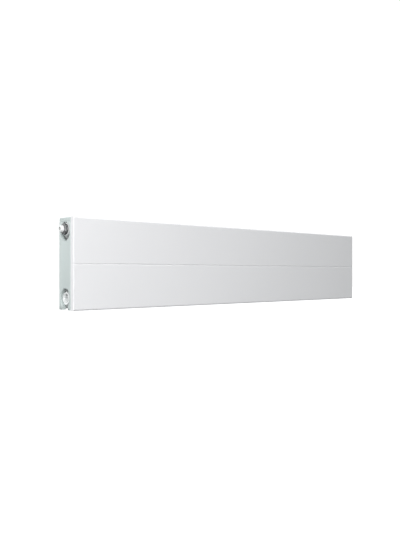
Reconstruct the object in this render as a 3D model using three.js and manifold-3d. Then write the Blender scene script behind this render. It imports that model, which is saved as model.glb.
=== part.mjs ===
// A low, flat-fronted steel panel radiator with two water panels and one convector.
//
// Lengths are millimetres, +Z is up, the front faces -Y and the wall is on the +Y side.
// Everything is built in a working frame whose X is 0 at mid-length, Y is 0 on the front
// face and Z is 0 at the bottom edge. The last group moves it so that its origin is the
// point that the wall holds: midway between the upper lugs' hook seats, on their back faces.

import * as THREE from "three";
import { mergeGeometries, mergeVertices } from "three/addons/utils/BufferGeometryUtils.js";
import Module from "manifold-3d";

const wasm = await Module();
wasm.setup();

// ---- Driving dimensions ----

const LENGTH = 1000;
const HEIGHT = 200;
const HALF = LENGTH / 2;
const WALL_PLANE = 72;
const FIT_GAP = 0.3;

// Pipe connections: G 1/2 sockets, centres 50 mm less than the height apart.
const HUB_Y = 37.5;
const HUB_LOW = 25;
const HUB_HIGH = HEIGHT - HUB_LOW;
const SOCKET_FACE = HALF - 2.1;
const SOCKET_LENGTH = 12;
const SOCKET_RADIUS = 14;
const SOCKET_BORE = 9.3;
const SOCKET_MOUTH = 10.9;
const TEE_X = HALF - 26;
const TEE_RADIUS = 16;
const TEE_NECK = 12.5;
const TEE_NECK_LENGTH = 2.5;
const TEE_SHOULDER = 6;
const TEE_BORE = 10;

// Water panels, each two pressed sheets welded round the rim and along the lands.
const SHEET = 1.2;
const PANEL_HALF = 491;
const PANEL_EDGE = 2.4;
const PANEL_BULGE = 5.3;
const FRONT_PANEL_Y = 15;
const REAR_PANEL_Y = 2 * HUB_Y - FRONT_PANEL_Y;
const CHANNEL_PITCH = 100 / 3;
const CHANNEL_COUNT = 29;
const CHANNEL_FOOT = 10.5;
const CHANNEL_CROWN = 6.5;
const HEADER_FOOT = 17;
const HEADER_CROWN = 13;
const HEADER_HALF_LENGTH = 485;
const PRESS_LAP = 0.2;
const CROWN_SHRINK = 0.5;

// Convector: a folded sheet with upright ducts.
const CONVECTOR_SHEET = 0.6;
const CONVECTOR_DEPTH = 33;
const CONVECTOR_CROWN = 7.5;
const CONVECTOR_LEAN = 2;
const CONVECTOR_CLEAR = 21;

// Flat front plate, its clips and its bonding strips.
const PLATE_SHEET = 1;
const PLATE_ROUND = 3;
const PLATE_DEPTH = 12.1;
const GROOVE_DEPTH = 1.2;
const GROOVE_HALF = 1.7;
const CLIP_X = HALF - 125;
const CLIP_HALF = 20;
const CLIP_SHEET = 0.8;
const CLIP_FRONT = 2.6;
const CLIP_TOP = 7.6;
const STRIP_HALF_LENGTH = HEADER_HALF_LENGTH - 30;
const STRIP_HALF_HEIGHT = 10;

// Side covers. Above COVER_SEAM the sheet steps in, to go behind the grille's lip.
const COVER_SHEET = 1;
const COVER_FRONT = PLATE_DEPTH + FIT_GAP;
const COVER_BACK = 64.6;
const COVER_ROUND = 2.5;
const COVER_BACK_ROUND = 1.5;
const COVER_LOW = 0.5;
const COVER_SEAM = 191.6;
const COVER_SEAM_WEB = 0.8;
const COVER_TOP = 197.9;
const COVER_STEP = 1.2;
const COVER_STEP_BACK = 61.5;
const COVER_FLANGE_END = PANEL_HALF + 0.6;
const COVER_BACK_END = PANEL_HALF - 4.5;
const OPENING_RADIUS = 20.5;
const OPENING_LOW = 26.4;
const OPENING_HIGH = 170;
const OPENING_SLOT_HALF = 12;
const OPENING_RIM = 8;

// Top grille: a shallow pan that lies over both side covers.
const GRILLE_SHEET = 0.7;
const GRILLE_TOP = HEIGHT;
const GRILLE_FRONT = COVER_FRONT;
const GRILLE_BACK = 63.4;
const GRILLE_FRONT_LIP = 3.5;
const GRILLE_LIP_LOW = 192.3;
const SLOT_PITCH = CHANNEL_PITCH / 2;
const SLOT_COUNT = 58;
const SLOT_WIDTH = 7.5;
const SLOT_LENGTH = 19;
const SLOT_ROW_Y = [25.4, 49.8];

// Air vent and blanking plug, with distances counted outward from mid-length.
const SEAL_SECTION = 0.45;
const SEAL_CLEAR = 0.05;
const SEAL_X = SOCKET_FACE + SEAL_SECTION + SEAL_CLEAR;
const FLANGE_BACK = SEAL_X + SEAL_SECTION + SEAL_CLEAR;
const FLANGE_RADIUS = 12;
const THREAD_RADIUS = 9;
const THREAD_END = HALF - 13;
const HEX_ACROSS = 22;
const HEX_INNER = HALF + 0.9;
const HEX_OUTER = HALF + 5;
const BOSS_RADIUS = 4.6;
const BOSS_END = HEX_OUTER + 3.3;
const AIR_ROOM_RADIUS = 6;
const AIR_ROOM_END = HALF - 4;
const ORIFICE_RADIUS = 1.5;
const VENT_SEAT = HALF + 1.2;
const SEAT_SEAL_RADIUS = 2.4;
const SEAT_SEAL_INNER = VENT_SEAT + 0.2;
const SEAT_SEAL_OUTER = VENT_SEAT + 1.5;
const CAP_BACK = HEX_OUTER + 0.3;
const CAP_WEB = HEX_OUTER + 4.2;
const CAP_FACE = HALF + 13;
const CAP_RADIUS = 7.5;
const CAP_ROOM = 5;
const CAP_FACE_RADIUS = 6.8;
const CAP_HOLE = 3.4;
const PORT_RADIUS = 1.4;
const PORT_X = HEX_OUTER + 2.6;
const SCREW_RADIUS = 3;
const SCREW_INNER = SEAT_SEAL_OUTER + 0.2;
const SCREW_SQUARE = 5;
const SCREW_TOP = CAP_FACE - 1.2;
const SCREW_SLOT_HALF = 0.5;
const PLUG_HEAD = FLANGE_BACK + 3.4;
const PLUG_KEY_ACROSS = 10;
const PLUG_KEY_END = HALF - 6;

// Hanging lugs, each straddling the fourth water channel from an end.
const LUG_X = 11 * CHANNEL_PITCH;
const LUG_SHEET = 2;
const LUG_HEIGHT = 40;
const LUG_HIGH_Z = 114;
const LUG_LOW_Z = 46;
const LUG_BRIDGE_HALF = 15;
const LUG_FOOT_HALF = 22;
const LUG_SLOT_HALF = 5;
const LUG_SEAT = 24;

const ROUND_STEPS = 24;
const COARSE_STEPS = 16;

// ---- Materials ----

function finish(color, roughness, metalness) {
  return new THREE.MeshStandardMaterial({ color, roughness, metalness });
}

const FRONT_WHITE = finish(0xeeeef0, 0.35, 0);
const COVER_WHITE = finish(0xd4dddc, 0.45, 0);
const PANEL_WHITE = finish(0xdfe3e3, 0.45, 0);
const NICKEL = finish(0x8d8d90, 0.3, 0.9);
const BRASS = finish(0xa89060, 0.35, 0.9);
const CAP_WHITE = finish(0xf4f6f6, 0.4, 0);
const RUBBER = finish(0x202224, 0.8, 0);
const FOAM = finish(0xb9bbb8, 0.9, 0);
const SPRING_STEEL = finish(0xc9cccd, 0.35, 0.8);

// ---- Geometry helpers ----

// Only the corner positions are kept, with shared corners merged and slivers dropped.
function toSolid(geometry) {
  const bare = geometry.index ? geometry.toNonIndexed() : geometry.clone();
  bare.deleteAttribute("normal");
  bare.deleteAttribute("uv");
  const merged = mergeVertices(bare, 1e-4);
  const index = merged.index.array;
  const triangles = [];
  for (let i = 0; i < index.length; i += 3) {
    const [a, b, c] = [index[i], index[i + 1], index[i + 2]];
    if (a !== b && b !== c && c !== a) {
      triangles.push(a, b, c);
    }
  }
  return new wasm.Manifold(new wasm.Mesh({
    numProp: 3,
    vertProperties: new Float32Array(merged.attributes.position.array),
    triVerts: new Uint32Array(triangles),
  }));
}

function toGeometry(solid) {
  const mesh = solid.getMesh();
  const geometry = new THREE.BufferGeometry();
  geometry.setAttribute("position", new THREE.BufferAttribute(mesh.vertProperties, 3));
  geometry.setIndex(new THREE.BufferAttribute(mesh.triVerts, 1));
  geometry.computeVertexNormals();
  return geometry;
}

function join(solids) {
  return solids.reduce((sum, solid) => sum.add(solid));
}

function blockGeometry([x0, x1], [y0, y1], [z0, z1]) {
  const box = new THREE.BoxGeometry(x1 - x0, y1 - y0, z1 - z0);
  return box.translate((x0 + x1) / 2, (y0 + y1) / 2, (z0 + z1) / 2);
}

function block(xs, ys, zs) {
  return toSolid(blockGeometry(xs, ys, zs));
}

function extrusion(points, depth) {
  const shape = new THREE.Shape(points.map(([u, v]) => new THREE.Vector2(u, v)));
  return new THREE.ExtrudeGeometry(shape, { depth, bevelEnabled: false });
}

// An outline of [y, z] points swept along X, of [x, z] along Y, and of [x, y] along Z.
function prismX(points, x0, x1) {
  const turn = new THREE.Matrix4().makeBasis(
    new THREE.Vector3(0, 1, 0), new THREE.Vector3(0, 0, 1), new THREE.Vector3(1, 0, 0));
  return toSolid(extrusion(points, x1 - x0).applyMatrix4(turn).translate(x0, 0, 0));
}

function prismY(points, y0, y1) {
  return toSolid(extrusion(points, y1 - y0).rotateX(Math.PI / 2).translate(0, y1, 0));
}

function prismZ(points, z0, z1) {
  return toSolid(extrusion(points, z1 - z0).translate(0, 0, z0));
}

// Turns a profile of [distance along the axis, radius] points. It starts and ends on the
// axis, or ends where it starts, and runs so that its faces point outward.
function turned(profile, steps) {
  let area = 0;
  profile.forEach(([a, r], i) => {
    const [nextA, nextR] = profile[(i + 1) % profile.length];
    area += r * nextA - nextR * a;
  });
  const ordered = area > 0 ? profile : [...profile].reverse();
  return new THREE.LatheGeometry(ordered.map(([a, r]) => new THREE.Vector2(r, a)), steps);
}

function turnedX(profile, y, z, steps = ROUND_STEPS) {
  return toSolid(turned(profile, steps).rotateZ(-Math.PI / 2).translate(0, y, z));
}

function turnedY(profile, x, z, steps = ROUND_STEPS) {
  return toSolid(turned(profile, steps).translate(x, 0, z));
}

function rod(x0, x1, radius, y, z, steps = ROUND_STEPS) {
  return turnedX([[x0, 0], [x0, radius], [x1, radius], [x1, 0]], y, z, steps);
}

function hexagon(across, x0, x1, y, z) {
  return rod(x0, x1, across / Math.sqrt(3), y, z, 6);
}

function arc(u, v, radius, from, to, steps) {
  const points = [];
  for (let i = 0; i <= steps; i += 1) {
    const angle = from + (to - from) * i / steps;
    points.push([u + radius * Math.cos(angle), v + radius * Math.sin(angle)]);
  }
  return points;
}

// The closed outline of a bent sheet whose middle line goes through the points.
function bentSheet(points, thickness) {
  const side = (sign) => points.map(([u, v], i) => {
    const before = points[Math.max(i - 1, 0)];
    const after = points[Math.min(i + 1, points.length - 1)];
    const into = new THREE.Vector2(u - before[0], v - before[1]);
    const out = new THREE.Vector2(after[0] - u, after[1] - v);
    const first = i === 0 ? out : into;
    const last = i === points.length - 1 ? into : out;
    const normal = first.clone().normalize().add(last.clone().normalize()).normalize();
    const reach = sign * thickness / 2 / normal.dot(last.clone().normalize());
    return [u - normal.y * reach, v + normal.x * reach];
  });
  return [...side(1), ...side(-1).reverse()];
}

const parts = new THREE.Group();

function place(name, solid, material) {
  const mesh = new THREE.Mesh(toGeometry(solid), material);
  mesh.name = name;
  parts.add(mesh);
}

const ENDS = [["left", -1], ["right", 1]];
const HUBS = [["bottom", HUB_LOW], ["top", HUB_HIGH]];

// Pieces of the two ends are drawn for the right end, and mirrored for the left.
function atEnd(solid, side) {
  return side > 0 ? solid : solid.mirror([1, 0, 0]);
}

// ---- Front plate ----

// A block with its front edges rounded, from this far behind the front face.
function roundedSlab(inset, radius) {
  const halfX = HALF - inset - radius;
  const halfZ = HEIGHT / 2 - inset - radius;
  const shape = new THREE.Shape([
    new THREE.Vector2(-halfX, -halfZ),
    new THREE.Vector2(halfX, -halfZ),
    new THREE.Vector2(halfX, halfZ),
    new THREE.Vector2(-halfX, halfZ),
  ]);
  const geometry = new THREE.ExtrudeGeometry(shape, {
    depth: PLATE_DEPTH, bevelThickness: radius, bevelSize: radius, bevelSegments: 4,
  });
  geometry.rotateX(Math.PI / 2).translate(0, PLATE_DEPTH + radius + inset, HEIGHT / 2);
  return toSolid(geometry);
}

// A bar with a V section, its point at the given depth behind the front face.
function grooveBar(depth, half) {
  const middle = HEIGHT / 2;
  const reach = half * (depth + 1) / depth;
  return prismX([[-1, middle - reach], [depth, middle], [-1, middle + reach]], -LENGTH, LENGTH);
}

function frontPlate() {
  const outer = roundedSlab(0, PLATE_ROUND).subtract(grooveBar(GROOVE_DEPTH, GROOVE_HALF));
  const inner = roundedSlab(PLATE_SHEET, PLATE_ROUND - PLATE_SHEET)
    .subtract(grooveBar(GROOVE_DEPTH + PLATE_SHEET, GROOVE_HALF + PLATE_SHEET));
  return outer
    .subtract(inner)
    .intersect(block([-LENGTH, LENGTH], [-1, PLATE_DEPTH], [-1, HEIGHT + 1]));
}

// A foam spacer strip, bonded to the plate and to the crown of one header.
function bondingStrip(z) {
  return block(
    [-STRIP_HALF_LENGTH, STRIP_HALF_LENGTH],
    [PLATE_SHEET + FIT_GAP, FRONT_PANEL_Y - PANEL_BULGE - FIT_GAP],
    [z - STRIP_HALF_HEIGHT, z + STRIP_HALF_HEIGHT]);
}

// A spring clip that grips the water panel's bottom seam and bears down on the plate's bottom return.
function plateClip(x) {
  const seam = SHEET + FIT_GAP / 2 + FIT_GAP;
  const front = FRONT_PANEL_Y - seam - CLIP_SHEET;
  const back = FRONT_PANEL_Y + seam + CLIP_SHEET;
  const under = PLATE_SHEET + FIT_GAP;
  const above = under + CLIP_SHEET;
  const outline = [
    [CLIP_FRONT, under], [back, under], [back, CLIP_TOP], [back - CLIP_SHEET, CLIP_TOP],
    [back - CLIP_SHEET, above], [front + CLIP_SHEET, above], [front + CLIP_SHEET, CLIP_TOP],
    [front, CLIP_TOP], [front, above], [CLIP_FRONT, above],
  ];
  return prismX(outline, x - CLIP_HALF, x + CLIP_HALF);
}

// ---- Water panels ----

function channelX(i) {
  return (i - (CHANNEL_COUNT - 1) / 2) * CHANNEL_PITCH;
}

// The bulging side of a pressed sheet, from one distance off the mid-plane to another,
// swept along the channels (Z) and along the headers (X).
function pressedForm(side, midY, low, high, footShrink, crownShrink) {
  const section = (foot, crown) => [
    [footShrink - foot, midY + side * low],
    [foot - footShrink, midY + side * low],
    [crown - crownShrink, midY + side * high],
    [crownShrink - crown, midY + side * high],
  ];
  const reach = HEADER_HALF_LENGTH - footShrink;
  const header = section(HEADER_FOOT, HEADER_CROWN);
  const channel = section(CHANNEL_FOOT, CHANNEL_CROWN);
  const forms = HUBS.map(([, z]) => prismX(header.map(([w, y]) => [y, z + w]), -reach, reach));
  for (let i = 0; i < CHANNEL_COUNT; i += 1) {
    forms.push(prismZ(channel.map(([w, y]) => [channelX(i) + w, y]), HUB_LOW, HUB_HIGH));
  }
  return join(forms);
}

function pressedShell(midY, side, hasPorts) {
  const inside = FIT_GAP / 2;
  const land = inside + SHEET;
  const slab = block(
    [-PANEL_HALF, PANEL_HALF],
    [midY + side * inside, midY + side * land].sort((a, b) => a - b),
    [PANEL_EDGE, HEIGHT - PANEL_EDGE]);
  const outer = pressedForm(side, midY, land - PRESS_LAP, PANEL_BULGE, -PRESS_LAP, 0);
  const inner = pressedForm(side, midY, 0, PANEL_BULGE - SHEET, FIT_GAP, CROWN_SHRINK);
  let shell = slab.add(outer).subtract(inner);
  if (hasPorts) {
    const [near, far] = [midY, midY + side * 2 * PANEL_BULGE].sort((a, b) => a - b);
    const port = [[near, 0], [near, TEE_BORE], [far, TEE_BORE], [far, 0]];
    for (const [, z] of HUBS) {
      shell = shell.subtract(turnedY(port, -TEE_X, z)).subtract(turnedY(port, TEE_X, z));
    }
  }
  return shell;
}

// One folded sheet: it lies on every channel crown of the front panel and forms an upright
// duct between each pair.
function convector() {
  const near = FRONT_PANEL_Y + PANEL_BULGE + FIT_GAP + CONVECTOR_SHEET / 2;
  const far = near + CONVECTOR_DEPTH;
  const fold = CONVECTOR_CROWN + CONVECTOR_LEAN;
  const line = [];
  for (let i = 0; i < CHANNEL_COUNT; i += 1) {
    const x = channelX(i);
    line.push([x - CONVECTOR_CROWN, near], [x + CONVECTOR_CROWN, near]);
    if (i < CHANNEL_COUNT - 1) {
      line.push([x + fold, far], [x + CHANNEL_PITCH - fold, far]);
    }
  }
  return prismZ(
    bentSheet(line, CONVECTOR_SHEET), HUB_LOW + CONVECTOR_CLEAR, HUB_HIGH - CONVECTOR_CLEAR);
}

// ---- Connections ----

function tee(z) {
  const near = FRONT_PANEL_Y + PANEL_BULGE + FIT_GAP;
  const far = REAR_PANEL_Y - PANEL_BULGE - FIT_GAP;
  const body = turnedY([
    [near, TEE_BORE], [near, TEE_NECK], [near + TEE_NECK_LENGTH, TEE_NECK],
    [near + TEE_SHOULDER, TEE_RADIUS], [far - TEE_SHOULDER, TEE_RADIUS],
    [far - TEE_NECK_LENGTH, TEE_NECK], [far, TEE_NECK], [far, TEE_BORE], [near, TEE_BORE],
  ], TEE_X, z, COARSE_STEPS);
  return body.subtract(rod(TEE_X, HALF, SOCKET_RADIUS + FIT_GAP, HUB_Y, z));
}

function socket(z) {
  const inner = SOCKET_FACE - SOCKET_LENGTH;
  const edge = 0.8;
  const mouthEnd = SOCKET_FACE - (SOCKET_MOUTH - SOCKET_BORE);
  return turnedX([
    [inner, SOCKET_BORE], [inner, SOCKET_RADIUS], [SOCKET_FACE - edge, SOCKET_RADIUS],
    [SOCKET_FACE, SOCKET_RADIUS - edge], [SOCKET_FACE, SOCKET_MOUTH], [mouthEnd, SOCKET_BORE],
    [inner, SOCKET_BORE],
  ], HUB_Y, z);
}

function ventPlugBody() {
  const z = HUB_HIGH;
  const lap = 0.5;
  const shank = rod(THREAD_END, FLANGE_BACK + lap, THREAD_RADIUS, HUB_Y, z);
  const flange = rod(FLANGE_BACK, HEX_INNER, FLANGE_RADIUS, HUB_Y, z);
  const hex = hexagon(HEX_ACROSS, HEX_INNER - lap, HEX_OUTER, HUB_Y, z);
  const chamfer = turnedX([
    [HEX_INNER - 1, 0], [HEX_INNER - 1, 14], [HEX_OUTER - 1.2, 13], [HEX_OUTER, 10.8],
    [HEX_OUTER, 0],
  ], HUB_Y, z);
  const boss = rod(HEX_OUTER - lap, BOSS_END, BOSS_RADIUS, HUB_Y, z);
  const airRoom = rod(THREAD_END - 1, AIR_ROOM_END, AIR_ROOM_RADIUS, HUB_Y, z, 12);
  const orifice = rod(AIR_ROOM_END - 1, VENT_SEAT + 1, ORIFICE_RADIUS, HUB_Y, z, 12);
  const screwBore = rod(VENT_SEAT, CAP_FACE, SCREW_RADIUS + 0.1, HUB_Y, z);
  return join([shank, flange, hex.intersect(chamfer), boss])
    .subtract(airRoom)
    .subtract(orifice)
    .subtract(screwBore);
}

// A swivelling cap round the bleed screw, with one small outlet port in its side.
function ventNozzle() {
  const edge = 0.8;
  const cap = turnedX([
    [CAP_BACK, CAP_ROOM], [CAP_BACK, CAP_RADIUS], [CAP_FACE - edge, CAP_FACE_RADIUS],
    [CAP_FACE, CAP_FACE_RADIUS - edge], [CAP_FACE, CAP_HOLE], [CAP_WEB, CAP_HOLE],
    [CAP_WEB, CAP_ROOM], [CAP_BACK, CAP_ROOM],
  ], HUB_Y, HUB_HIGH);
  const port = arc(PORT_X, HUB_Y, PORT_RADIUS, 0, 2 * Math.PI, 12).slice(1);
  return cap.subtract(prismZ(port, HUB_HIGH - CAP_RADIUS - 1, HUB_HIGH - CAP_HOLE));
}

// The bleed screw: a threaded shank, a square for the vent key and a driver slot.
function bleedScrew() {
  const lap = 0.5;
  const shank = rod(SCREW_INNER, HEX_OUTER, SCREW_RADIUS, HUB_Y, HUB_HIGH);
  const square = rod(HEX_OUTER - lap, SCREW_TOP, SCREW_SQUARE / Math.SQRT2, HUB_Y, HUB_HIGH, 4);
  const round = rod(HEX_OUTER - 1, CAP_FACE, SCREW_RADIUS, HUB_Y, HUB_HIGH);
  const slot = block(
    [SCREW_TOP - 1, CAP_FACE],
    [HUB_Y - SCREW_SQUARE, HUB_Y + SCREW_SQUARE],
    [HUB_HIGH - SCREW_SLOT_HALF, HUB_HIGH + SCREW_SLOT_HALF]);
  return shank.add(square.intersect(round)).subtract(slot);
}

function blankingPlug() {
  const edge = 0.8;
  const head = turnedX([
    [FLANGE_BACK, 0], [FLANGE_BACK, FLANGE_RADIUS], [PLUG_HEAD - edge, FLANGE_RADIUS],
    [PLUG_HEAD, FLANGE_RADIUS - edge], [PLUG_HEAD, 0],
  ], HUB_Y, HUB_HIGH);
  const shank = rod(THREAD_END, FLANGE_BACK + 0.5, THREAD_RADIUS, HUB_Y, HUB_HIGH);
  const key = hexagon(PLUG_KEY_ACROSS, PLUG_KEY_END, HALF + 5, HUB_Y, HUB_HIGH);
  return head.add(shank).subtract(key);
}

// The round-section ring under the flange of the vent or the blanking plug.
function flangeSeal() {
  const radius = THREAD_RADIUS + 0.4 + SEAL_SECTION;
  const profile = arc(SEAL_X, radius, SEAL_SECTION, 0, 2 * Math.PI, 6);
  profile[profile.length - 1] = profile[0];
  return turnedX(profile, HUB_Y, HUB_HIGH, COARSE_STEPS);
}

function seatSeal() {
  return rod(SEAT_SEAL_INNER, SEAT_SEAL_OUTER, SEAT_SEAL_RADIUS, HUB_Y, HUB_HIGH, 12);
}

// ---- Side covers and grille ----

function coverCircles(radius) {
  const [near, far] = [HALF - 20, HALF + 1];
  return rod(near, far, radius, HUB_Y, OPENING_LOW, 32)
    .add(rod(near, far, radius, HUB_Y, OPENING_HIGH, 32));
}

// The plan of a cover's middle line, its outside this far inside the cover's own.
function coverPlan(inset, thickness) {
  const shift = inset + thickness / 2;
  return [
    [COVER_FLANGE_END, COVER_FRONT + shift],
    ...arc(
      HALF - COVER_ROUND, COVER_FRONT + COVER_ROUND, COVER_ROUND - shift, -Math.PI / 2, 0, 6),
  ];
}

function sideCover() {
  const half = COVER_SHEET / 2;
  const backBend = arc(
    HALF - COVER_BACK_ROUND, COVER_BACK - COVER_BACK_ROUND, COVER_BACK_ROUND - half,
    0, Math.PI / 2, 3);
  const lowPlan = [
    ...coverPlan(0, COVER_SHEET), ...backBend, [COVER_BACK_END, COVER_BACK - half]];
  const webSheet = COVER_SHEET + COVER_STEP;
  const webPlan = [...coverPlan(0, webSheet), [HALF - webSheet / 2, COVER_STEP_BACK]];
  const highPlan = [
    ...coverPlan(COVER_STEP, COVER_SHEET), [HALF - COVER_STEP - half, COVER_STEP_BACK]];
  const low = prismZ(bentSheet(lowPlan, COVER_SHEET), COVER_LOW, COVER_SEAM);
  const web = prismZ(bentSheet(webPlan, webSheet), COVER_SEAM - COVER_SEAM_WEB, COVER_SEAM);
  const high = prismZ(
    bentSheet(highPlan, COVER_SHEET), COVER_SEAM - COVER_SEAM_WEB / 2, COVER_TOP);
  const rimSpan = block([HALF - OPENING_RIM, HALF - half], [0, COVER_BACK], [COVER_LOW, HEIGHT]);
  const rim = coverCircles(OPENING_RADIUS + COVER_SHEET).intersect(rimSpan);
  const slot = block(
    [HALF - 20, HALF + 1],
    [HUB_Y - OPENING_SLOT_HALF, HUB_Y + OPENING_SLOT_HALF],
    [-1, OPENING_LOW]);
  return join([low, web, high, rim]).subtract(coverCircles(OPENING_RADIUS)).subtract(slot);
}

// The grille's outline in plan, this far inside its outside.
function grillePlan(inset) {
  const [front, back] = [COVER_ROUND, COVER_BACK_ROUND];
  const quarter = Math.PI / 2;
  return [
    ...arc(HALF - front, GRILLE_FRONT + front, front - inset, -quarter, 0, 4),
    ...arc(HALF - back, GRILLE_BACK - back, back - inset, 0, quarter, 2),
    ...arc(back - HALF, GRILLE_BACK - back, back - inset, quarter, 2 * quarter, 2),
    ...arc(front - HALF, GRILLE_FRONT + front, front - inset, 2 * quarter, 3 * quarter, 4),
  ];
}

function topGrille() {
  const under = GRILLE_TOP - GRILLE_SHEET;
  const outer = prismZ(grillePlan(0), GRILLE_LIP_LOW, GRILLE_TOP);
  const inner = prismZ(grillePlan(GRILLE_SHEET), GRILLE_LIP_LOW - 1, under);
  const shortLip = block(
    [-PANEL_HALF, PANEL_HALF],
    [GRILLE_FRONT - 1, GRILLE_FRONT + COVER_ROUND],
    [GRILLE_LIP_LOW - 1, GRILLE_TOP - GRILLE_FRONT_LIP]);
  const slots = [];
  for (let i = 0; i < SLOT_COUNT; i += 1) {
    const x = (i - (SLOT_COUNT - 1) / 2) * SLOT_PITCH;
    for (const y of SLOT_ROW_Y) {
      slots.push(blockGeometry(
        [x - SLOT_WIDTH / 2, x + SLOT_WIDTH / 2],
        [y - SLOT_LENGTH / 2, y + SLOT_LENGTH / 2],
        [under - 1, GRILLE_TOP + 1]));
    }
  }
  return outer.subtract(inner).subtract(shortLip).subtract(toSolid(mergeGeometries(slots)));
}

// ---- Hanging lugs ----

// A hat-shaped strap over one channel, its feet on the lands, slotted from below.
function hangingLug(x, z) {
  const foot = REAR_PANEL_Y + FIT_GAP / 2 + SHEET + FIT_GAP + LUG_SHEET / 2;
  const plate = WALL_PLANE - LUG_SHEET / 2;
  const middle = [
    [x - LUG_FOOT_HALF, foot], [x - LUG_BRIDGE_HALF, foot], [x - LUG_BRIDGE_HALF, plate],
    [x + LUG_BRIDGE_HALF, plate], [x + LUG_BRIDGE_HALF, foot], [x + LUG_FOOT_HALF, foot],
  ];
  const strap = prismZ(bentSheet(middle, LUG_SHEET), z, z + LUG_HEIGHT);
  const slot = [
    [x - LUG_SLOT_HALF, z - 1],
    [x + LUG_SLOT_HALF, z - 1],
    ...arc(x, z + LUG_SEAT - LUG_SLOT_HALF, LUG_SLOT_HALF, 0, Math.PI, 8),
  ];
  return strap.subtract(prismY(slot, plate - LUG_SHEET, plate + LUG_SHEET));
}

// ---- The radiator ----

place("front_plate", frontPlate(), FRONT_WHITE);
for (const [level, z] of HUBS) {
  place(`bonding_strip_${level}`, bondingStrip(z), FOAM);
}
place("front_panel_outer_shell", pressedShell(FRONT_PANEL_Y, -1, false), PANEL_WHITE);
place("front_panel_inner_shell", pressedShell(FRONT_PANEL_Y, 1, true), PANEL_WHITE);
place("convector", convector(), PANEL_WHITE);
place("rear_panel_inner_shell", pressedShell(REAR_PANEL_Y, -1, true), PANEL_WHITE);
place("rear_panel_outer_shell", pressedShell(REAR_PANEL_Y, 1, false), PANEL_WHITE);
place("top_grille", topGrille(), COVER_WHITE);

for (const [end, side] of ENDS) {
  place(`side_cover_${end}`, atEnd(sideCover(), side), COVER_WHITE);
  place(`plate_clip_${end}`, plateClip(side * CLIP_X), SPRING_STEEL);
  place(`lug_top_${end}`, hangingLug(side * LUG_X, LUG_HIGH_Z), PANEL_WHITE);
  place(`lug_bottom_${end}`, hangingLug(side * LUG_X, LUG_LOW_Z), PANEL_WHITE);
  for (const [level, z] of HUBS) {
    place(`tee_${level}_${end}`, atEnd(tee(z), side), PANEL_WHITE);
    place(`socket_${level}_${end}`, atEnd(socket(z), side), PANEL_WHITE);
  }
}

place("vent_plug_body", atEnd(ventPlugBody(), -1), NICKEL);
place("vent_plug_seal", atEnd(flangeSeal(), -1), RUBBER);
place("vent_nozzle", atEnd(ventNozzle(), -1), CAP_WHITE);
place("vent_screw", atEnd(bleedScrew(), -1), BRASS);
place("vent_seat_seal", atEnd(seatSeal(), -1), RUBBER);
place("blanking_plug", blankingPlug(), NICKEL);
place("blanking_plug_seal", flangeSeal(), RUBBER);

parts.position.set(0, -WALL_PLANE, -(LUG_HIGH_Z + LUG_SEAT));

const radiator = new THREE.Group();
radiator.add(parts);

export default radiator;
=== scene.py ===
"""A low white panel radiator with a flat grooved front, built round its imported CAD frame."""

import math

import bmesh
import bpy
import numpy as np
from mathutils import Matrix, Vector


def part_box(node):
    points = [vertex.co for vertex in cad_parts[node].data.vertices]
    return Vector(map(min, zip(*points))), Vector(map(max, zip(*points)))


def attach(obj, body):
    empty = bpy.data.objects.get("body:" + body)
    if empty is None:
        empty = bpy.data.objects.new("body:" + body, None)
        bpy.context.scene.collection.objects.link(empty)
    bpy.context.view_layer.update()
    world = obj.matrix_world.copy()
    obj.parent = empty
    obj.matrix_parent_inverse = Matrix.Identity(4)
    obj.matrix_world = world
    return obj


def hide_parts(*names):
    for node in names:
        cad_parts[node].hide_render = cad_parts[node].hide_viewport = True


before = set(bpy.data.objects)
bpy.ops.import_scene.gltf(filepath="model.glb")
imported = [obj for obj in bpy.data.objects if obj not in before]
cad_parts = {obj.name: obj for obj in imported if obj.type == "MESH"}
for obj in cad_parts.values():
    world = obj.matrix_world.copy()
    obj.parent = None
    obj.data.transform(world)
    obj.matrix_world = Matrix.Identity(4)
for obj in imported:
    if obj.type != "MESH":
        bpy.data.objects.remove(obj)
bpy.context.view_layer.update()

# ---- Working frame ----
# Pieces are drawn in millimetres: x from mid-length, y back from the front face and z up
# from the bottom edge. TO_ROW takes them into the frame's metres.

MM = 0.001
SHEET_EDGE = 0.15
PLATE_LOW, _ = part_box("front_plate")
TO_ROW = Matrix.Translation((0, PLATE_LOW.y, PLATE_LOW.z)) @ Matrix.Scale(MM, 4)
TO_WORK = TO_ROW.inverted()


def work_box(node):
    """A CAD node's lowest and highest corner, in the working frame."""
    low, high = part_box(node)
    return TO_WORK @ low, TO_WORK @ high


def middle(node):
    low, high = work_box(node)
    return (low + high) / 2


ENDS = (("left", -1), ("right", 1))
LEVELS = ("bottom", "top")

HALF = work_box("front_plate")[1].x
HEIGHT = work_box("front_plate")[1].z
PANEL_HALF = work_box("rear_panel_outer_shell")[1].x
HUB_Y = middle("socket_bottom_left").y
HUB_Z = {level: middle(f"socket_{level}_left").z for level in LEVELS}
VENT_Z = HUB_Z["top"]

# ---- Mesh helpers ----


def loft(bm, rows, closed=False):
    """Quads between successive rows of vertices; closed also joins each row's ends."""
    for lower, upper in zip(rows, rows[1:]):
        count = len(lower)
        for i in range(count if closed else count - 1):
            j = (i + 1) % count
            corners = (lower[i], lower[j], upper[j], upper[i])
            unique = list(dict.fromkeys(corners))
            if len(unique) > 2:
                bm.faces.new(unique)


def row(bm, points):
    return [bm.verts.new(p) for p in points]


def arc(u, v, radius, start, end, steps):
    """Points on an arc, its angles in degrees."""
    angles = np.radians(np.linspace(start, end, steps + 1))
    return [(u + radius * math.cos(a), v + radius * math.sin(a)) for a in angles]


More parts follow.
